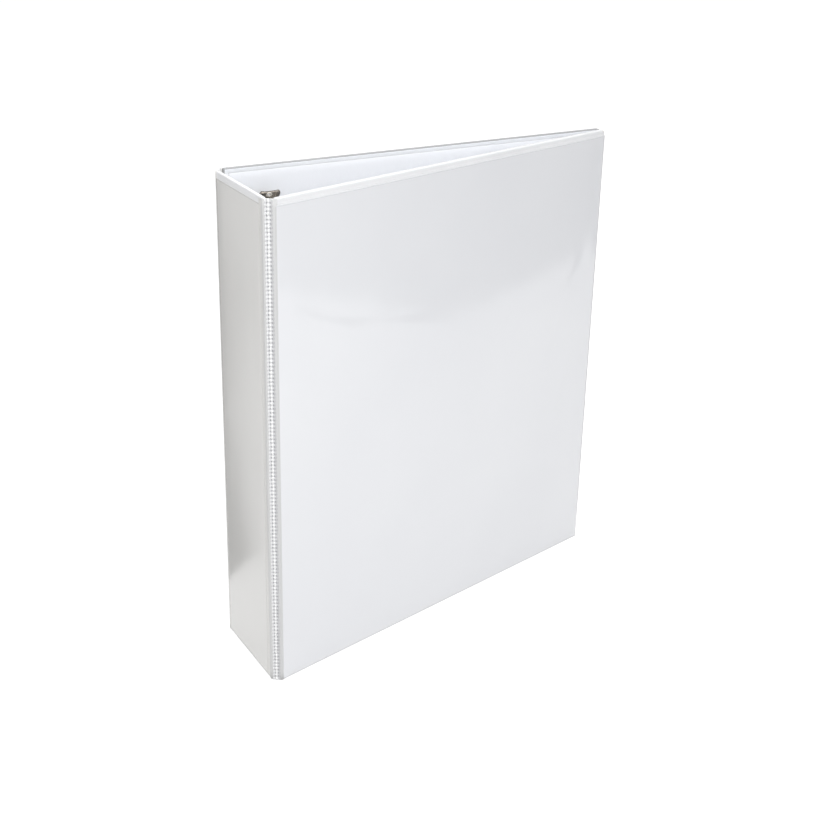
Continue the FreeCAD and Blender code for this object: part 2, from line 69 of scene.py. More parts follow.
cam.matrix_world = Matrix(((r2.x, u2.x, -fwd.x, cam_pos.x),
                           (r2.y, u2.y, -fwd.y, cam_pos.y),
                           (r2.z, u2.z, -fwd.z, cam_pos.z),
                           (0, 0, 0, 1)))

# ----------------------------------------------------------- panel geometry
H = 318.0
T = 3.0
CLEAR = 0.6
MID = 0.45
BF = math.radians(14.006046367123217)
BR = math.radians(0.38903757283131113)
uF = Vector((math.cos(BF), math.sin(BF), 0))
nF = Vector((-math.sin(BF), math.cos(BF), 0))
uR = Vector((math.cos(BR), -math.sin(BR), 0))
nR = Vector((-math.sin(BR), -math.cos(BR), 0))
Zv = Vector((0, 0, 1))
F1 = Vector((-143.146, -34.891, 0))
F2 = Vector((-137.907, -38.985, 0))
R1 = Vector((-143.146, 33.279, 0))
R2 = Vector((-137.746, 38.643, 0))
LEN_F, LEN_R, LEN_S = 289.424, 280.747, 66.971
X0 = -143.596
ORG_F = F2 + uF * CLEAR - nF * MID
ORG_R = R2 + uR * CLEAR - nR * MID
ORG_S = Vector((X0, F1.y + CLEAR, 0))
dF = (F2 - F1).normalized()
dR = (R2 - R1).normalized()
CH_F, CH_R = (F2 - F1).length, (R2 - R1).length
nBF = Vector((-dF.y, dF.x, 0))
nBR = Vector((dR.y, -dR.x, 0))
MECH = ORG_R + nR * T + uR * 26.0 + Zv * H


class Panel:
    """Local frame of a panel: a along it, v up it, w inwards from its outer face (mm)."""

    def __init__(self, org, a, n):
        self.org, self.a, self.n = org, a, n

    def __call__(self, a, v, w):
        return (self.org + self.a * a + Zv * v + self.n * w) * MM


FRONT = Panel(ORG_F, uF, nF)
REAR = Panel(ORG_R, uR, nR)
SPINE = Panel(ORG_S, Vector((0, 1, 0)), Vector((1, 0, 0)))
BAND_F = Panel(F1 - nBF * MID, dF, nBF)
BAND_R = Panel(R1 - nBR * MID, dR, nBR)


def mech(x, y, z):
    """Mechanism frame: x away from the spine, y off the rear cover, z down (mm)."""
    return (MECH + uR * x + nR * y - Zv * z) * MM


# ---------------------------------------------------------------- materials
def new_mat(name):
    m = bpy.data.materials.new(name)
    m.use_nodes = True
    nt = m.node_tree
    b = nt.nodes["Principled BSDF"]
    return m, nt, b


def add(nt, kind, **vals):
    n = nt.nodes.new(kind)
    for k, v in vals.items():  # settings by name, else inputs
        if hasattr(n, k) and k not in n.inputs:
            setattr(n, k, v)
        else:
            n.inputs[k].default_value = v
    return n


def paint_edge_shade(nt, src, dst):
    """Multiply a colour by 1 - the mesh's "edge" attribute: painted shade that greys
    the rounded rims of the covers, and a painted shadow under the free top lip of a film."""
    at = add(nt, "ShaderNodeAttribute")
    at.attribute_name = "edge"
    inv = add(nt, "ShaderNodeMath", operation="SUBTRACT")
    inv.inputs[0].default_value = 1.0
    nt.links.new(at.outputs["Fac"], inv.inputs[1])
    sc = add(nt, "ShaderNodeVectorMath", operation="SCALE")
    nt.links.new(src, sc.inputs[0])
    nt.links.new(inv.outputs[0], sc.inputs["Scale"])
    nt.links.new(sc.outputs[0], dst)


def vinyl(name, c1, c2, rough, grain=0.25, grain_scale=1400.0, fleck=0.0, coat=0.0):
    """White PVC: two close tones in soft patches, a fine embossed grain and
    slightly uneven gloss."""
    m, nt, b = new_mat(name)
    tc = add(nt, "ShaderNodeTexCoord")
    big = add(nt, "ShaderNodeTexNoise", Scale=14.0, Detail=4.0, Roughness=0.55)
    nt.links.new(tc.outputs["Object"], big.inputs["Vector"])
    ramp = add(nt, "ShaderNodeValToRGB")
    ramp.color_ramp.elements[0].position = 0.35
    ramp.color_ramp.elements[0].color = (*c1, 1)
    ramp.color_ramp.elements[1].position = 0.68
    ramp.color_ramp.elements[1].color = (*c2, 1)
    nt.links.new(big.outputs["Fac"], ramp.inputs["Fac"])
    # painted shade: the "edge" attribute greys the colour along the covers' rounded rims
    paint_edge_shade(nt, ramp.outputs["Color"], b.inputs["Base Color"])
    vor = add(nt, "ShaderNodeTexVoronoi", Scale=grain_scale)
    vor.feature = "SMOOTH_F1"
    nt.links.new(tc.outputs["Object"], vor.inputs["Vector"])
    fine = add(nt, "ShaderNodeTexNoise", Scale=grain_scale * 0.45, Detail=3.0)
    nt.links.new(tc.outputs["Object"], fine.inputs["Vector"])
    mix = add(nt, "ShaderNodeMath", operation="ADD")
    nt.links.new(vor.outputs["Distance"], mix.inputs[0])
    nt.links.new(fine.outputs["Fac"], mix.inputs[1])
    bump = add(nt, "ShaderNodeBump", Strength=grain, Distance=0.00012)
    nt.links.new(mix.outputs[0], bump.inputs["Height"])
    nt.links.new(bump.outputs["Normal"], b.inputs["Normal"])
    rr = add(nt, "ShaderNodeMapRange")
    rr.inputs["To Min"].default_value = rough - 0.05
    rr.inputs["To Max"].default_value = rough + 0.07
    nt.links.new(big.outputs["Fac"], rr.inputs["Value"])
    nt.links.new(rr.outputs["Result"], b.inputs["Roughness"])
    b.inputs["Coat Weight"].default_value = coat
    b.inputs["Coat Roughness"].default_value = 0.16
    b.inputs["Coat IOR"].default_value = 1.55
    return m


def weld_mat(name, c0=(0.90, 0.90, 0.90), c1=(0.68, 0.68, 0.69), c2=(0.34, 0.34, 0.36), coat=0.2):
    """Pressed, glossier vinyl of the welds.  The "pit" attribute darkens the colour towards c2:
    painted shade in the pits, grooves and bead rims of the hinge bands, a knurl tone on the film seam."""
    m, nt, b = new_mat(name)
    tc = add(nt, "ShaderNodeTexCoord")
    at = add(nt, "ShaderNodeAttribute")
    at.attribute_name = "pit"
    n = add(nt, "ShaderNodeTexNoise", Scale=420.0, Detail=4.0)
    nt.links.new(tc.outputs["Object"], n.inputs["Vector"])
    mr = add(nt, "ShaderNodeMapRange")
    mr.inputs["To Min"].default_value = 0.80
    mr.inputs["To Max"].default_value = 1.15
    nt.links.new(n.outputs["Fac"], mr.inputs["Value"])
    mul = add(nt, "ShaderNodeMath", operation="MULTIPLY")
    mul.use_clamp = True
    nt.links.new(at.outputs["Fac"], mul.inputs[0])
    nt.links.new(mr.outputs["Result"], mul.inputs[1])
    ramp = add(nt, "ShaderNodeValToRGB")
    ramp.color_ramp.elements[0].position = 0.0
    ramp.color_ramp.elements[0].color = (*c0, 1)
    ramp.color_ramp.elements[1].position = 1.0
    ramp.color_ramp.elements[1].color = (*c2, 1)
    e = ramp.color_ramp.elements.new(0.45)
    e.color = (*c1, 1)
    nt.links.new(mul.outputs[0], ramp.inputs["Fac"])
    nt.links.new(ramp.outputs["Color"], b.inputs["Base Color"])
    bump = add(nt, "ShaderNodeBump", Strength=0.2, Distance=0.0001)
    nt.links.new(n.outputs["Fac"], bump.inputs["Height"])
    nt.links.new(bump.outputs["Normal"], b.inputs["Normal"])
    rr = add(nt, "ShaderNodeMapRange")
    rr.inputs["To Min"].default_value = 0.28
    rr.inputs["To Max"].default_value = 0.42
    nt.links.new(n.outputs["Fac"], rr.inputs["Value"])
    nt.links.new(rr.outputs["Result"], b.inputs["Roughness"])
    b.inputs["Coat Weight"].default_value = coat
    b.inputs["Coat Roughness"].default_value = 0.15
    return m


def film_mat(name, c1, c2, rough, wave=0.35, coat_rough=0.06):
    """Clear film lying on white vinyl: the white shows through a little greyer,
    under a glossy, faintly rippled surface with fine handling marks."""
    m, nt, b = new_mat(name)
    tc = add(nt, "ShaderNodeTexCoord")
    big = add(nt, "ShaderNodeTexNoise", Scale=7.0, Detail=3.0, Roughness=0.5)
    nt.links.new(tc.outputs["Object"], big.inputs["Vector"])
    ramp = add(nt, "ShaderNodeValToRGB")
    ramp.color_ramp.elements[0].position = 0.3
    ramp.color_ramp.elements[0].color = (*c1, 1)
    ramp.color_ramp.elements[1].position = 0.7
    ramp.color_ramp.elements[1].color = (*c2, 1)
    nt.links.new(big.outputs["Fac"], ramp.inputs["Fac"])
    # painted shadow: the "edge" attribute darkens the film along its free top lip
    paint_edge_shade(nt, ramp.outputs["Color"], b.inputs["Base Color"])
    # long soft ripples and fine sparse scratches
    mp = add(nt, "ShaderNodeMapping")
    mp.inputs["Scale"].default_value = (1.0, 1.0, 0.45)
    nt.links.new(tc.outputs["Object"], mp.inputs["Vector"])
    rip = add(nt, "ShaderNodeTexNoise", Scale=26.0, Detail=2.5, Roughness=0.45, Distortion=0.4)
    nt.links.new(mp.outputs["Vector"], rip.inputs["Vector"])
    mp2 = add(nt, "ShaderNodeMapping")
    mp2.inputs["Rotation"].default_value = (0.3, 0.5, 0.2)
    mp2.inputs["Scale"].default_value = (1.0, 1.0, 14.0)
    nt.links.new(tc.outputs["Object"], mp2.inputs["Vector"])
    scr = add(nt, "ShaderNodeTexNoise", Scale=60.0, Detail=6.0, Roughness=0.7)
    nt.links.new(mp2.outputs["Vector"], scr.inputs["Vector"])
    b1 = add(nt, "ShaderNodeBump", Strength=wave, Distance=0.0012)
    nt.links.new(rip.outputs["Fac"], b1.inputs["Height"])
    b2 = add(nt, "ShaderNodeBump", Strength=0.08, Distance=0.00015)
    nt.links.new(scr.outputs["Fac"], b2.inputs["Height"])
    nt.links.new(b1.outputs["Normal"], b2.inputs["Normal"])
    nt.links.new(b2.outputs["Normal"], b.inputs["Normal"])
    nt.links.new(b2.outputs["Normal"], b.inputs["Coat Normal"])
    rr = add(nt, "ShaderNodeMapRange")
    rr.inputs["To Min"].default_value = rough - 0.04
    rr.inputs["To Max"].default_value = rough + 0.08
    nt.links.new(scr.outputs["Fac"], rr.inputs["Value"])
    nt.links.new(rr.outputs["Result"], b.inputs["Roughness"])
    b.inputs["Coat Weight"].default_value = 1.0
    b.inputs["Coat IOR"].default_value = 1.6
    b.inputs["Coat Roughness"].default_value = coat_rough
    return m


def nickel(name, c=(0.66, 0.64, 0.60), rough=0.22, scale=900.0):
    """Nickel-plated steel: fine brushed haze, faint darker patches, soft edges."""
    m, nt, b = new_mat(name)
    tc = add(nt, "ShaderNodeTexCoord")
    big = add(nt, "ShaderNodeTexNoise", Scale=55.0, Detail=5.0)
    nt.links.new(tc.outputs["Object"], big.inputs["Vector"])
    ramp = add(nt, "ShaderNodeValToRGB")
    ramp.color_ramp.elements[0].position = 0.3
    ramp.color_ramp.elements[0].color = (c[0] * 0.82, c[1] * 0.81, c[2] * 0.79, 1)
    ramp.color_ramp.elements[1].position = 0.65
    ramp.color_ramp.elements[1].color = (*c, 1)
    nt.links.new(big.outputs["Fac"], ramp.inputs["Fac"])
    nt.links.new(ramp.outputs["Color"], b.inputs["Base Color"])
    mp = add(nt, "ShaderNodeMapping")
    mp.inputs["Scale"].default_value = (1.0, 1.0, 0.06)
    nt.links.new(tc.outputs["Object"], mp.inputs["Vector"])
    br = add(nt, "ShaderNodeTexNoise", Scale=scale, Detail=4.0)
    nt.links.new(mp.outputs["Vector"], br.inputs["Vector"])
    bump = add(nt, "ShaderNodeBump", Strength=0.12, Distance=0.00006)
    nt.links.new(br.outputs["Fac"], bump.inputs["Height"])
    bev = add(nt, "ShaderNodeBevel", Radius=0.00025)
    bev.samples = 4
    nt.links.new(bev.outputs["Normal"], bump.inputs["Normal"])
    nt.links.new(bump.outputs["Normal"], b.inputs["Normal"])
    rr = add(nt, "ShaderNodeMapRange")
    rr.inputs["To Min"].default_value = rough - 0.06
    rr.inputs["To Max"].default_value = rough + 0.12
    nt.links.new(br.outputs["Fac"], rr.inputs["Value"])
    nt.links.new(rr.outputs["Result"], b.inputs["Roughness"])
    b.inputs["Metallic"].default_value = 1.0
    return m


def board_mat(name):
    m, nt, b = new_mat(name)
    tc = add(nt, "ShaderNodeTexCoord")
    n = add(nt, "ShaderNodeTexNoise", Scale=300.0, Detail=6.0)
    nt.links.new(tc.outputs["Object"], n.inputs["Vector"])
    ramp = add(nt, "ShaderNodeValToRGB")
    ramp.color_ramp.elements[0].color = (0.30, 0.27, 0.23, 1)
    ramp.color_ramp.elements[1].color = (0.52, 0.48, 0.42, 1)
    nt.links.new(n.outputs["Fac"], ramp.inputs["Fac"])
    nt.links.new(ramp.outputs["Color"], b.inputs["Base Color"])
    bump = add(nt, "ShaderNodeBump", Strength=0.5, Distance=0.0002)
    nt.links.new(n.outputs["Fac"], bump.inputs["Height"])
    nt.links.new(bump.outputs["Normal"], b.inputs["Normal"])
    b.inputs["Roughness"].default_value = 0.9
    return m


def clear_mat(name):
    """Clear pocket film over the white liner, seen mostly by its gloss and edges."""
    m, nt, b = new_mat(name)
    tc = add(nt, "ShaderNodeTexCoord")
    n = add(nt, "ShaderNodeTexNoise", Scale=40.0, Detail=3.0)
    nt.links.new(tc.outputs["Object"], n.inputs["Vector"])
    ramp = add(nt, "ShaderNodeValToRGB")
    ramp.color_ramp.elements[0].color = (0.78, 0.80, 0.83, 1)
    ramp.color_ramp.elements[1].color = (0.88, 0.90, 0.92, 1)
    nt.links.new(n.outputs["Fac"], ramp.inputs["Fac"])
    nt.links.new(ramp.outputs["Color"], b.inputs["Base Color"])
    bump = add(nt, "ShaderNodeBump", Strength=0.25, Distance=0.0008)
    nt.links.new(n.outputs["Fac"], bump.inputs["Height"])
    nt.links.new(bump.outputs["Normal"], b.inputs["Normal"])
    b.inputs["Roughness"].default_value = 0.08
    b.inputs["Alpha"].default_value = 0.38
    b.inputs["Coat Weight"].default_value = 0.6
    return m


M_SKIN = vinyl("white_vinyl", (0.755, 0.76, 0.775), (0.795, 0.80, 0.812), 0.42, coat=0.5)
# painted light: the liner is a lighter copy of the white vinyl, lifting the shaded inside of the
# binder
M_LINER = vinyl("white_liner", (0.905, 0.92, 0.95), (0.925, 0.935, 0.965), 0.5, coat=0.1)
M_WELD = weld_mat("welded_vinyl")
M_SEAM = weld_mat("film_seam", (0.71, 0.703, 0.685), (0.66, 0.653, 0.636), (0.45, 0.45, 0.45), 0.35)
# painted shade: the front fold webs are greyed as the shaded groove at the hinge folds
M_WEB = weld_mat("fold_web", (0.60, 0.60, 0.60), (0.55, 0.55, 0.55), (0.45, 0.45, 0.45), 0.1)
M_FILM = film_mat("overlay_film", (0.73, 0.737, 0.763), (0.76, 0.767, 0.789), 0.35)
# painted shade: a darker copy of the overlay film for the spine side
M_FILM_S = film_mat("spine_overlay_film", (0.62, 0.612, 0.594), (0.645, 0.636, 0.618), 0.35, wave=0.12,
                    coat_rough=0.16)
M_NICKEL = nickel("nickel_plate")
# painted reflection: a dark copy of the nickel standing in for the dark reflections on the levers
M_LEVER = nickel("nickel_lever", (0.36, 0.325, 0.29), 0.24)
M_BOARD = board_mat("chipboard")
M_CLEAR = clear_mat("clear_pocket")


# -------------------------------------------------------------- mesh helpers
def make(name, verts, faces, mat, body=None, smooth=True):
    me = bpy.data.meshes.new(name)
    me.from_pydata([tuple(v) for v in verts], [], faces)
    me.validate()
    bm = bmesh.new()
    bm.from_mesh(me)
    bmesh.ops.recalc_face_normals(bm, faces=bm.faces)
    bm.to_mesh(me)
    bm.free()
    for p in me.polygons:
        p.use_smooth = smooth
    me.materials.append(mat)
    o = bpy.data.objects.new(name, me)
    scene.collection.objects.link(o)
    if body:
        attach(o, body)
    return o


def loop_pts(a0, v0, a1, v1, rads, seg=8):
    """Rounded rectangle, counter-clockwise, with the four corner radii given
    in the order (a0,v0), (a1,v0), (a1,v1), (a0,v1)."""
    out = []
    cs = [(a0, v0, 1, 1, 180), (a1, v0, -1, 1, 270), (a1, v1, -1, -1, 0), (a0, v1, 1, -1, 90)]
    for (x, y, sx, sy, ang0), r in zip(cs, rads):
        cx, cy = x + sx * r, y + sy * r
        for k in range(seg + 1):
            t = math.radians(ang0 + 90.0 * k / seg)
            out.append((cx + r * math.cos(t), cy + r * math.sin(t)))
    return out


def paint(o, name, shade):
    """Store one grey value per vertex as a colour attribute."""
    at = o.data.color_attributes.new(name, "FLOAT_COLOR", "POINT")
    for i, q in enumerate(shade):
        at.data[i].color = (q, q, q, 1)


def slab(name, pan, a0, v0, a1, v1, rads, profile, mat, body, seg=8, edge=0.0, edge_w=1.2):
    """Plate built from nested outlines.  profile holds (inset, w) pairs from the
    outer face round the edge to the inner face; both ends are capped."""
    verts, faces, shade = [], [], []
    n = None
    for inset, w in profile:
        pts = loop_pts(a0 + inset, v0 + inset, a1 - inset, v1 - inset,
                       [max(r - inset, 0.12) for r in rads], seg)
        n = len(pts)
        verts += [pan(a, v, w) for a, v in pts]
        # painted shade: rim vertices with w >= edge_w get the edge amount
        shade += [edge if (w >= edge_w and inset < 1.0) else 0.0] * n
    for k in range(len(profile) - 1):
        for i in range(n):
            j = (i + 1) % n
            faces.append((k * n + i, k * n + j, (k + 1) * n + j, (k + 1) * n + i))
    faces.append(tuple(range(n)))
    last = (len(profile) - 1) * n
    faces.append(tuple(reversed(range(last, last + n))))
    o = make(name, verts, faces, mat, body)
    if edge:
        paint(o, "edge", shade)
    return o


def rounded_profile(w0, w1, r0, r1, extra_out=(), extra_in=(), steps=5):
    """Edge profile of a sheet from w0 (outer) to w1 (inner) with edge radii."""
    prof = [(max(r0 * 1.6, 0.6) + 6.0, w0)]
    prof += list(extra_out)
    prof.append((r0 * 1.25, w0))
    for k in range(steps + 1):
        t = math.pi / 2 * k / steps
        prof.append((r0 - r0 * math.sin(t), w0 + r0 - r0 * math.cos(t)))
    for k in range(steps + 1):
        t = math.pi / 2 * k / steps
        prof.append((r1 - r1 * math.cos(t), w1 - r1 + r1 * math.sin(t)))
    prof.append((r1 * 1.25, w1))
    prof += list(extra_in)
    prof.append((max(r1 * 1.6, 0.6) + 6.0, w1))
    return prof


def strip_mesh(name, pan, prof, v0, v1, nv, mat, body, slot, bend=None, close=True, both=None):
    """Section (a, w) points extruded up the height in nv steps."""
    verts, faces = [], []
    n = len(prof)
    for k in range(nv + 1):
        v = v0 + (v1 - v0) * k / nv
        for a, w in prof:
            if bend:
                a, v_, w = bend(a, v, w)
                verts.append(pan(a, v_, w))
            else:
                verts.append(pan(a, v, w))
    m = n if close else n - 1
    for k in range(nv):
        for i in range(m):
            j = (i + 1) % n
            faces.append((k * n + i, k * n + j, (k + 1) * n + j, (k + 1) * n + i))
    if close:
        faces.append(tuple(reversed(range(n))))
        faces.append(tuple(range(nv * n, nv * n + n)))
    return make(name, verts, faces, mat, body)


# ------------------------------------------------------------- cover panels
def weld_groove(d, w, depth, wid=0.5, sign=1):
    """Shallow groove across an outline profile at inset d."""
    return [(d + wid * 1.6, w), (d + wid, w + sign * depth * 0.35), (d + wid * 0.4, w + sign * depth),
            (d - wid * 0.4, w + sign * depth), (d - wid, w + sign * depth * 0.35), (d - wid * 1.6, w)]


def cover(prefix, pan, length, body, edge, edge_w):
    # outer wrap: rounded free edges, weld line 2.9 mm in from the edge
    prof = rounded_profile(0.2, 2.85, 1.15, 0.9, extra_out=weld_groove(2.9, 0.2, 0.07, 0.35))
    o = slab(prefix + "_skin", pan, 0.0, 0.0, length, H, (0.9, 5.2, 5.2, 0.9), prof,
             M_SKIN, body, seg=12, edge=edge, edge_w=edge_w)
    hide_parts(prefix + "_outer_skin")
    # liner: thin sheet welded on inside, with its own weld line
    prof = rounded_profile(2.6, 3.0, 0.12, 0.18, steps=3,
                           extra_in=list(reversed(weld_groove(2.4, 3.0, 0.18, 0.35, -1))))
    o = slab(prefix + "_lining", pan, 0.9, 0.9, length - 0.9, H - 0.9, (0.8, 3.2, 3.2, 0.8), prof,
             M_LINER, body)
    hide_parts(prefix + "_liner")


# edge amounts are painted shade: the front greys the inner side of its rounded rim, the rear darkens
# its whole rounded rim into a dark line
cover("front", FRONT, LEN_F, "front_cover", 0.22, 1.6)
cover("rear", REAR, LEN_R, "rear_cover", 0.52, 0.45)
prof = rounded_profile(0.2, 2.85, 0.9, 0.9)
o = slab("spine_skin", SPINE, 0.0, 0.0, LEN_S, H, (0.8, 0.8, 0.8, 0.8), prof, M_SKIN, "spine")
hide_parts("spine_outer_skin")
prof = rounded_profile(2.6, 3.0, 0.12, 0.18, steps=3)
o = slab("spine_lining", SPINE, 0.9, 0.9, LEN_S - 0.9, H - 0.9, (0.6,) * 4, prof, M_LINER,
         "spine")
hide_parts("spine_liner")


# ------------------------------------------------------------ overlay films
def film(name, pan, a0, a1, v0, v1, na, nv, shape, mat, body, node, lip=0.22, head=()):
    """Thin film as a fine grid lying on the panel.  shape(a, v) gives how far it
    stands off the panel in mm; its edges are turned down to the panel."""
    verts, faces, shade = [], [], []
    cols = [a0 + (a1 - a0) * i / na for i in range(na + 1)]
    for i, a in enumerate(head):
        cols[i] = a
    rows = [v0 + (v1 - v0) * k / nv for k in range(nv + 1)]
    rows[nv - 1], rows[nv - 2] = v1 - 0.45, v1 - 1.0
    for k, v in enumerate(rows):
        for a in cols:
            verts.append(pan(a, v, 0.2 - lip - shape(a, v)))
            # painted shadow: the two top rows are darkened along the film's free lip
            shade.append(0.13 if k >= nv - 1 else 0.0)
    W = na + 1
    for k in range(nv):
        for i in range(na):
            p = k * W + i
            faces.append((p, p + 1, p + W + 1, p + W))
    # skirt down to the panel all round
    ring = [i for i in range(W)] + [k * W + na for k in range(1, nv + 1)] \
        + [nv * W + i for i in range(na - 1, -1, -1)] + [k * W for k in range(nv - 1, 0, -1)]
    base = len(verts)
    mid_a, mid_v = (a0 + a1) / 2, (v0 + v1) / 2
    for idx in ring:
        k, i = divmod(idx, W)
        a, v = cols[i], rows[k]
        oa = 0.12 if i == na else (-0.12 if i == 0 and not head else 0.0)
        ov = 0.12 if k == nv else (-0.12 if k == 0 else 0.0)
        verts.append(pan(a + oa, v + ov, 1.5 if i == 0 and head else 0.23))
        # painted shadow on the skirt under the film's top lip
        shade.append(0.16 if k == nv else 0.0)
    m = len(ring)
    for q in range(m):
        faces.append((ring[q], ring[(q + 1) % m], base + (q + 1) % m, base + q))
    o = make(name, verts, faces, mat, body)
    paint(o, "edge", shade)
    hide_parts(node)
    return o


def hold(a, v, a0, a1, v0, v1, side=14.0, bottom=14.0):
    """0 on the welded sides and bottom, 1 well inside."""
    f = min(1.0, (a - a0) / side, (a1 - a) / side)
    g = min(1.0, (v - v0) / bottom)
    f, g = max(f, 0.0), max(g, 0.0)
    return (f * f * (3 - 2 * f)) * (g * g * (3 - 2 * g))


def fore_weld(d):
    """Pressed weld line 3 mm in from the fore edge."""
    return 0.10 * math.exp(-((d - 3.9) / 0.45) ** 2) - 0.07 * math.exp(-((d - 3.0) / 0.5) ** 2) \
        + 0.05 * math.exp(-((d - 1.6) / 0.6) ** 2)


def wrap_edge(a, r=1.15):
    """How far a film drops where it follows the rounded hinge-side edge."""
    return r - math.sqrt(max(0.0, r * r - (r - a) ** 2)) if a < r else 0.0


HEAD = (0.0, 0.10, 0.28, 0.52, 0.80, 1.15, 1.8)
HEM = 4.45


def front_film_shape(a, v):
    h = hold(a, v, 1.2, LEN_F - 3.4, 0.8, H - 5.0)
    p = Vector((a * 0.010, v * 0.007, 3.1))
    q = Vector((a * 0.035, v * 0.020, 7.7))
    z = 0.55 * (0.5 + 0.5 * noise.noise(p)) + 0.10 * noise.noise(q)
    # short diagonal creases near the upper part of the hinge side
    for ca, cv, ang, ln, wd, am in ((42, 232, -24, 46, 5.0, 0.16), (88, 222, -12, 40, 4.0, 0.12),
                                    (252, 190, 62, 40, 4.5, 0.15), (262, 150, 75, 44, 4.0, 0.12),
                                    (150, 238, 8, 60, 6.0, 0.10), (205, 246, 16, 60, 6.0, 0.10)):
        c, s = math.cos(math.radians(ang)), math.sin(math.radians(ang))
        x = (a - ca) * c + (v - cv) * s
        y = -(a - ca) * s + (v - cv) * c
        z += am * math.exp(-(x / ln) ** 2 - (y / wd) ** 2)
    return max(0.0, z) * h + max(0.0, fore_weld(LEN_F - a)) - wrap_edge(a)


def plain_film_shape(seed):
    def f(a, v):
        h = hold(a, v, 1.2, LEN_R - 3.4, 0.8, H - 5.0)
        p = Vector((a * 0.012, v * 0.008, seed))
        return max(0.0, 0.5 * (0.5 + 0.5 * noise.noise(p))) * h \
            + max(0.0, fore_weld(LEN_R - a)) - wrap_edge(a)
    return f


def spine_film_shape(a, v):
    h = hold(a, v, 4.2, LEN_S - 1.0, 1.2, H - 5.0, side=8.0)
    return 0.16 * (0.5 + 0.5 * noise.noise(Vector((a * 0.03, v * 0.006, 21.0)))) * h


film("front_film", FRONT, 0.0, LEN_F - 0.75, 0.8, H - HEM, 240, 200, front_film_shape, M_FILM,
     "front_cover", "front_overlay", head=HEAD)
film("rear_film", REAR, 0.0, LEN_R - 0.75, 0.8, H - HEM, 200, 120, plain_film_shape(5.3), M_FILM,
     "rear_cover", "rear_overlay", head=HEAD)
film("spine_film", SPINE, 4.2, LEN_S - 0.6, 0.8, H - HEM, 40, 120, spine_film_shape, M_FILM_S,
     "spine", "spine_overlay", lip=0.10)


def seam(name, pan, a0, a1, body, amp):
    """Fine diagonal knurl where a film is welded down along a hinge."""
    nv = 129 * 6
    cols = 20
    verts, faces, shade = [], [], []
    W = cols + 1
    for k in range(nv + 1):
        v = 1.2 + (H - 2.4) * k / nv
        for i in range(W):
            s_ = i / cols
            ph = (v / 2.44 + s_ * 0.9) % 1.0
            c = 0.5 - 0.5 * math.cos(2 * math.pi * ph)
            d = 0.5 - 0.5 * math.cos(4 * math.pi * s_)
            q = c * d
            rim = min(1.0, i / 2.0, (cols - i) / 2.0)
            a_ = a0 + (a1 - a0) * s_
            verts.append(pan(a_, v, 0.2 + wrap_edge(a_, 0.9) - (0.06 + amp * q) * rim - 0.02))
            shade.append(0.30 - 0.25 * q * rim)
    for k in range(nv):
        for i in range(cols):
            p = k * W + i
            faces.append((p, p + 1, p + W + 1, p + W))
    o = make(name, verts, faces, M_SEAM, body)
    at = o.data.color_attributes.new("pit", "FLOAT_COLOR", "POINT")
    for i, q in enumerate(shade):
        at.data[i].color = (q, q, q, 1)
    return o


seam("spine_front_seam", SPINE, 0.0, 4.5, "spine", 0.05)


# --------------------------------------------------------------- hinge bands
def weld_relief(s, ph):
    """Height (mm, outwards) and painted shade of the pressed weld at s across the band
    and phase ph along one bead; the shade greys the recesses where shade falls."""
    # sh is painted shade: the recessed ladder base, scallop valleys, bead rims, dots, groove and the
    # strip next to the cover are greyed
    h, sh = -0.16, 0.30
    if s < 0.05:
        h, sh = -0.04, 0.34
    elif s < 0.21:
        x = (s - 0.05) / 0.16
        h = 0.30 * math.sin(math.pi * x) ** 0.7 * (1.0 - 0.45 * abs(ph - 0.5) * 2)
        sh = 0.20 + 0.45 * (abs(ph - 0.5) * 2) ** 2
    elif s > 0.78:
        x = (s - 0.78) / 0.22
        h = -0.14 + 0.10 * x + 0.02 * math.sin(2 * math.pi * ph)
        sh = 0.84 - 0.14 * x + 0.06 * math.cos(2 * math.pi * ph)
    else:
        bx, by = (s - 0.475) / 0.135, (ph - 0.5) / 0.40
        d = bx * bx + by * by
        if d < 1.0:
            h = -0.05 + 0.50 * math.sqrt(1.0 - d)
            sh = 0.02 + 0.2 * d * d
        else:
            q = abs((ph + 0.5) % 1.0 - 0.5)
            for c, r, depth in ((0.30, 0.075, 0.42), (0.675, 0.085, 0.46)):
                e = ((s - c) / r) ** 2 + (q / 0.34) ** 2
                if e < 1.0:
                    k = (1.0 - e) ** 0.5
                    h -= depth * k
                    sh = max(sh, 0.30 + 0.70 * k)
            if 0.62 < s < 0.74:
                h -= 0.10
                sh = max(sh, 0.50)
    return h, sh


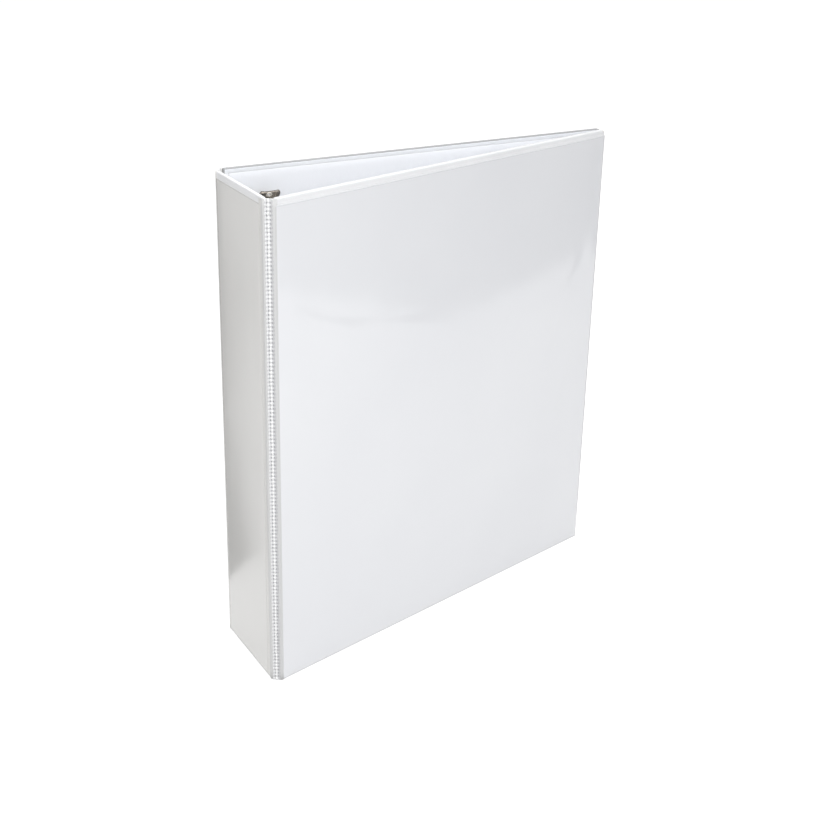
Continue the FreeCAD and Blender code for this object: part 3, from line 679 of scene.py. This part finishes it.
def band(name, pan, chord, body, node):
    """Welded hinge band: a scalloped ridge on the spine side, a ladder of pressed
    beads between two rows of pits, then a plain strip next to the cover."""
    nv = 129
    pitch = (H - 0.6) / nv
    sub, cols = 10, 50
    a0, a1 = CLEAR, chord - CLEAR
    verts, faces, shade = [], [], []
    rows = nv * sub
    rnd = random.Random(4)
    jit = [(rnd.uniform(-0.012, 0.012), rnd.uniform(0.85, 1.1)) for _ in range(nv + 2)]
    W = cols + 1
    for k in range(rows + 1):
        v = 0.3 + (H - 0.6) * k / rows
        idx = min(int((v - 0.3) / pitch), nv)
        ph = ((v - 0.3) / pitch) % 1.0
        js, jh = jit[idx]
        ends = max(0.0, min(1.0, (v - 0.3) / 0.4, (H - 0.3 - v) / 0.8))
        for i in range(W):
            s = i / cols
            h, sh = weld_relief(min(max(s + js, 0.0), 1.0), ph)
            rim = min(1.0, i / 3.0, (cols - i) / 3.0)
            verts.append(pan(a0 + (a1 - a0) * s, v, 0.02 - h * jh * ends * rim + 0.25 * (1 - rim)))
            shade.append(sh * ends)
    for k in range(rows):
        for i in range(cols):
            p = k * W + i
            faces.append((p, p + 1, p + W + 1, p + W))
    base = len(verts)
    bn = 6
    for k in range(bn + 1):
        v = 0.3 + (H - 0.6) * k / bn
        verts.append(pan(a0, v, 0.9))
        verts.append(pan(a1, v, 0.9))
        shade += [0.1, 0.1]
    for k in range(bn):
        p = base + 2 * k
        faces.append((p, p + 2, p + 3, p + 1))
    left = [k * W for k in range(rows + 1)]
    rightv = [k * W + cols for k in range(rows + 1)]
    bl = [base + 2 * k for k in range(bn + 1)]
    br = [base + 2 * k + 1 for k in range(bn + 1)]
    faces.append(tuple(left + list(reversed(bl))))
    faces.append(tuple(rightv + list(reversed(br))))
    faces.append(tuple([i for i in range(W)] + [base + 1, base]))
    faces.append(tuple([rows * W + i for i in range(W)] + [base + 2 * bn + 1, base + 2 * bn]))
    o = make(name, verts, faces, M_WELD, body)
    # the "pit" attribute carries the painted shade from weld_relief
    at = o.data.color_attributes.new("pit", "FLOAT_COLOR", "POINT")
    for i, q in enumerate(shade):
        at.data[i].color = (q, q, q, 1)
    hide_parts(node)
    return o


band("front_hinge_weld", BAND_F, CH_F, "front_hinge", "front_hinge_band")
band("rear_hinge_weld", BAND_R, CH_R, "rear_hinge", "rear_hinge_band")


# --------------------------------------------- supple folds at the hinge lines
def fold(name, dir_a, na_, pb_dir, nb_, pivot, reach_a, reach_b, mat):
    """Supple vinyl web across one fold line, built bent from panel a to panel b in the rest pose and
    attached to no body.  It runs reach_a back along panel a and reach_b along panel b, just under the
    faces."""
    n = 16
    verts, faces = [], []
    sect = []
    for side, off in ((0, -MID + 0.10), (1, MID - 0.05)):
        row = []
        for k in range(n + 1):
            t = -reach_a + (reach_a + reach_b) * k / n
            wgt = 0.5 + 0.5 * max(-1.0, min(1.0, t / 0.9))
            wgt = wgt * wgt * (3 - 2 * wgt)
            base = pivot + (dir_a * t if t < 0 else pb_dir * t)
            nrm = (na_ * (1 - wgt) + nb_ * wgt).normalized()
            row.append(base + nrm * off)
        sect.append(row)
    ring = sect[0] + list(reversed(sect[1]))
    m = len(ring)
    nv = 60
    for k in range(nv + 1):
        v = 0.5 + (H - 1.0) * k / nv
        for p in ring:
            verts.append((p + Zv * v) * MM)
    for k in range(nv):
        for i in range(m):
            j = (i + 1) % m
            faces.append((k * m + i, k * m + j, (k + 1) * m + j, (k + 1) * m + i))
    faces.append(tuple(reversed(range(m))))
    faces.append(tuple(range(nv * m, nv * m + m)))
    o = make(name, verts, faces, mat, None)
    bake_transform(o)
    return o


YF = Vector((0, -1, 0))
YR = Vector((0, 1, 0))
XI = Vector((1, 0, 0))
fold("front_spine_fold_web", YF, XI, dF, nBF, F1, 1.8, 1.4, M_WEB)
fold("front_cover_fold_web", dF, nBF, uF, nF, F2, 1.4, 1.8, M_WEB)
fold("rear_spine_fold_web", YR, XI, dR, nBR, R1, 1.8, 1.4, M_SEAM)
fold("rear_cover_fold_web", dR, nBR, uR, nR, R2, 1.4, 1.8, M_SEAM)

# ------------------------------------------------------------ inside pocket
o = slab("inside_pocket", FRONT, 9.0, 3.0, LEN_F - 4.0, 153.0, (1, 2.5, 1, 1),
         [(10.0, 3.42), (2.6, 3.40), (2.0, 3.12), (1.4, 3.10), (0.8, 3.26), (0.2, 3.22), (0.0, 3.1),
          (0.05, 3.04), (3.0, 3.03)], M_CLEAR, "front_cover")
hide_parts("front_inner_pocket")

# ---------------------------------------------------------------- the levers
def lever(name, body, node, low):
    """Pressed finger lever: a curved tab with rolled rims and a small riveted
    eyelet, narrowing to a tongue with two ears on the pin."""
    def at(x, y, z):
        return mech(x, y, H - z if low else z)
    path = [(3.6, 31.0, 4.3), (4.6, 28.6, 4.4), (5.8, 25.4, 4.5), (6.9, 22.4, 4.8), (7.9, 20.4, 6.2),
            (9.1, 18.4, 6.9), (10.2, 16.6, 6.9), (10.9, 15.3, 6.3), (11.1, 14.9, 5.4)]
    ns, nx, th = 56, 40, 0.95

    def along(t):
        q = t * (len(path) - 1)
        i = min(int(q), len(path) - 2)
        f = q - i
        p0, p1, p2, p3 = (path[max(i - 1, 0)], path[i], path[i + 1], path[min(i + 2, len(path) - 1)])
        out = []
        for c in range(3):
            out.append(0.5 * (2 * p1[c] + (p2[c] - p0[c]) * f
                              + (2 * p0[c] - 5 * p1[c] + 4 * p2[c] - p3[c]) * f * f
                              + (3 * p1[c] - p0[c] - 3 * p2[c] + p3[c]) * f ** 3))
        return out
    verts, faces = [], []
    for side in (0, 1):
        for k in range(ns + 1):
            y, z, w = along(k / ns)
            y2, z2, _ = along(min(k / ns + 0.01, 1.0))
            y1, z1, _ = along(max(k / ns - 0.01, 0.0))
            ty, tz = y2 - y1, z2 - z1
            ln = math.hypot(ty, tz) or 1.0
            ny, nz = -tz / ln, ty / ln
            tipf = max(0.0, (k / ns - 0.86) / 0.14)
            for i in range(nx + 1):
                u = -1 + 2 * i / nx
                rim = max(0.0, (abs(u) - 0.72) / 0.28)
                drop = 0.25 * u * u + 0.55 * rim ** 2 + 0.5 * tipf ** 2 + side * th
                verts.append(at(u * w, y - ny * drop, z - nz * drop))
    W = nx + 1
    N = (ns + 1) * W
    holes = set()
    hu, hz = -0.9, 16.4
    for k in range(ns):
        y, z, w = along((k + 0.5) / ns)
        for i in range(nx):
            x = (-1 + 2 * (i + 0.5) / nx) * w
            if ((x - hu) / 1.3) ** 2 + ((z - hz) / 1.1) ** 2 < 1.0:
                holes.add((k, i))
    for side in (0, 1):
        for k in range(ns):
            for i in range(nx):
                if (k, i) in holes:
                    continue
                p = side * N + k * W + i
                f = (p, p + 1, p + W + 1, p + W)
                faces.append(f if side == 0 else tuple(reversed(f)))
    # walls round the outline and round the hole
    edges = {}
    for f in [f for f in faces if f[0] < N]:
        for j in range(4):
            e = (f[j], f[(j + 1) % 4])
            key = (min(e), max(e))
            edges[key] = None if key in edges else e
    for e in edges.values():
        if e:
            faces.append((e[1], e[0], e[0] + N, e[1] + N))
    o = make(name + "_plate", verts, faces, M_LEVER, body)
    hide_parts(node)
    # ears on the pin
    verts, faces = [], []
    for sx in (-1, 1):
        for x in (sx * 3.0, sx * 4.2):
            base = len(verts)
            for k in range(32):
                t = 2 * math.pi * k / 32
                verts.append(at(x, 3.5 + 2.0 * math.cos(t), 26.5 + 2.6 * math.sin(t)))
            for k in range(32):
                t = 2 * math.pi * k / 32
                verts.append(at(x, 3.5 + 1.22 * math.cos(t), 26.5 + 1.22 * math.sin(t)))
            for k in range(32):
                j = (k + 1) % 32
                faces.append((base + k, base + j, base + 32 + j, base + 32 + k))
        b0, b1 = len(verts) - 128, len(verts) - 64
        for k in range(32):
            j = (k + 1) % 32
            faces.append((b0 + k, b0 + j, b1 + j, b1 + k))
            faces.append((b0 + 32 + k, b0 + 32 + j, b1 + 32 + j, b1 + 32 + k))
    o = make(name + "_ears", verts, faces, M_LEVER, body)
    # eyelet rim round the hole
    verts, faces = [], []
    yy, zz = 10.25, hz
    slope = Vector((0, 1.15, -2.4)).normalized()
    nrm = Vector((0, 2.4, 1.15)).normalized()
    for k in range(40):
        t = 2 * math.pi * k / 40
        c = Vector((hu + 1.6 * math.cos(t), yy, zz)) + slope * 1.3 * math.sin(t)
        rad = (Vector((math.cos(t), 0, 0)) + slope * math.sin(t)).normalized()
        for j in range(12):
            q = 2 * math.pi * j / 12
            p = c + rad * 0.55 * math.cos(q) + nrm * 0.36 * math.sin(q)
            verts.append(at(p.x, p.y, p.z))
    for k in range(40):
        for j in range(12):
            k2, j2 = (k + 1) % 40, (j + 1) % 12
            faces.append((k * 12 + j, k * 12 + j2, k2 * 12 + j2, k2 * 12 + j))
    make(name + "_eyelet", verts, faces, M_EYELET, body)


# painted highlight: the nickel eyelet rim's pale cream colour paints the highlight round the lever's
# hole
M_EYELET = nickel("eyelet_painted_highlight", (0.97, 0.92, 0.84), 0.45)
lever("upper_lever", "upper_lever", "upper_lever", False)
lever("lower_lever", "lower_lever", "lower_lever", True)

# ------------------------------------------------- materials of the CAD nodes
for n_, o_ in nodes.items():
    if n_.endswith("_board"):
        mats = M_BOARD
    elif n_.endswith("_lever"):
        mats = M_LEVER
    else:
        mats = M_NICKEL
    if not o_.hide_render:
        for k in range(len(o_.material_slots)):
            o_.material_slots[k].material = mats
        if not o_.material_slots:
            o_.data.materials.append(mats)

# ------------------------------------------------------------ floor and light
scene.view_settings.view_transform = "Standard"
fm, nt, b = new_mat("floor_white")
b.inputs["Base Color"].default_value = (0.36, 0.36, 0.36, 1)
b.inputs["Roughness"].default_value = 0.9
b.inputs["Emission Color"].default_value = (1, 1, 1, 1)
flp = add(nt, "ShaderNodeLightPath")
fmx = add(nt, "ShaderNodeMath", operation="MAXIMUM")
nt.links.new(flp.outputs["Is Camera Ray"], fmx.inputs[0])
nt.links.new(flp.outputs["Is Glossy Ray"], fmx.inputs[1])
fmr = add(nt, "ShaderNodeMapRange")
fmr.inputs["To Min"].default_value = 0.30
fmr.inputs["To Max"].default_value = 0.76
nt.links.new(fmx.outputs[0], fmr.inputs["Value"])
nt.links.new(fmr.outputs["Result"], b.inputs["Emission Strength"])
me = bpy.data.meshes.new("floor")
S = 30.0
me.from_pydata([(-S, -S, 0), (S, -S, 0), (S, S, 0), (-S, S, 0)], [], [(0, 1, 2, 3)])
me.materials.append(fm)
floor = bpy.data.objects.new("floor", me)
scene.collection.objects.link(floor)
floor.location.z = -0.0002


def card(name, pts, z, near, far, axis, lo_, hi_):
    """Studio flag lying on the floor: only gloss sees it.  Its tone runs from
    near to far along one axis between lo_ and hi_ metres."""
    m, nt_, b_ = new_mat(name + "_grey")
    b_.inputs["Base Color"].default_value = (0, 0, 0, 1)
    b_.inputs["Specular IOR Level"].default_value = 0.0
    t_ = add(nt_, "ShaderNodeTexCoord")
    sp_ = add(nt_, "ShaderNodeSeparateXYZ")
    nt_.links.new(t_.outputs["Object"], sp_.inputs[0])
    mr_ = add(nt_, "ShaderNodeMapRange")
    mr_.inputs["From Min"].default_value = lo_
    mr_.inputs["From Max"].default_value = hi_
    mr_.inputs["To Min"].default_value = near
    mr_.inputs["To Max"].default_value = far
    nt_.links.new(sp_.outputs[axis], mr_.inputs["Value"])
    nt_.links.new(mr_.outputs["Result"], b_.inputs["Emission Strength"])
    b_.inputs["Emission Color"].default_value = (1, 1, 1, 1)
    me_ = bpy.data.meshes.new(name)
    me_.from_pydata([(x * MM, y * MM, z) for x, y in pts], [], [tuple(range(len(pts)))])
    me_.materials.append(m)
    o_ = bpy.data.objects.new(name, me_)
    scene.collection.objects.link(o_)
    o_.visible_camera = False
    o_.visible_diffuse = False
    o_.visible_shadow = False
    o_.visible_transmission = False
    return o_


card("flag_front", [(459, -590), (473, -496), (494, -430), (525, -383), (493, -338), (516, -318),
                    (577, -304), (651, -294), (738, -285), (1382, -247), (4000, -160),
                    (4000, -4000), (300, -4000)], 0.0004, 0.42, 0.06, "X", 0.45, 1.2)
card("flag_left", [(-160, 90), (-200, 120), (-290, 380), (-430, 680), (-600, 1200), (-4000, 4000),
                   (-1200, 4000), (-160, 600)], 0.0004, 0.16, 0.34, "Y", 0.1, 1.2)
card("flag_rear", [(400, 41), (-137, 41), (-150, 600), (-1200, 4000), (4000, 4000), (4000, 41)],
     0.0004, 0.42, 0.34, "X", -0.15, 0.1)

world = bpy.data.worlds.new("studio")
scene.world = world
world.use_nodes = True
wn = world.node_tree
bg = wn.nodes["Background"]
tc = add(wn, "ShaderNodeTexCoord")
dot = add(wn, "ShaderNodeVectorMath", operation="DOT_PRODUCT")
dot.inputs[1].default_value = (0.55, -0.75, 0.36)
wn.links.new(tc.outputs["Generated"], dot.inputs[0])
ramp = add(wn, "ShaderNodeMapRange")
ramp.inputs["From Min"].default_value = -0.9
ramp.inputs["From Max"].default_value = 0.9
ramp.inputs["To Min"].default_value = 0.68
ramp.inputs["To Max"].default_value = 0.80
wn.links.new(dot.outputs["Value"], ramp.inputs["Value"])
lp = add(wn, "ShaderNodeLightPath")
mixw = add(wn, "ShaderNodeMix", data_type="FLOAT")
wn.links.new(lp.outputs["Is Camera Ray"], mixw.inputs[0])
wn.links.new(ramp.outputs["Result"], mixw.inputs[2])
mixw.inputs[3].default_value = 1.0
wn.links.new(mixw.outputs[0], bg.inputs["Strength"])
bg.inputs["Color"].default_value = (1.0, 1.0, 1.0, 1)


def area(name, loc, target, size, power, color=(1, 1, 1), size_y=None):
    d = bpy.data.lights.new(name, "AREA")
    d.energy = power
    d.color = color
    d.size = size
    if size_y:
        d.shape = "RECTANGLE"
        d.size_y = size_y
    ob = bpy.data.objects.new(name, d)
    scene.collection.objects.link(ob)
    ob.location = loc
    ob.rotation_mode = "QUATERNION"
    ob.rotation_quaternion = (Vector(target) - Vector(loc)).to_track_quat("-Z", "Y")
    return ob


area("softbox", (-0.33, -0.62, 0.80), (-0.05, 0, 0.16), 0.7, 3.6, (0.98, 0.99, 1.0))
area("overhead", (0.1, -0.1, 1.9), (0, 0, 0.3), 1.4, 10.0)
area("rear_fill", (0.15, 1.3, 1.2), (0, 0, 0.15), 1.2, 4.0)
area("low_fill", (-0.33, -0.62, 0.14), (-0.1, -0.03, 0.05), 0.4, 0.34)
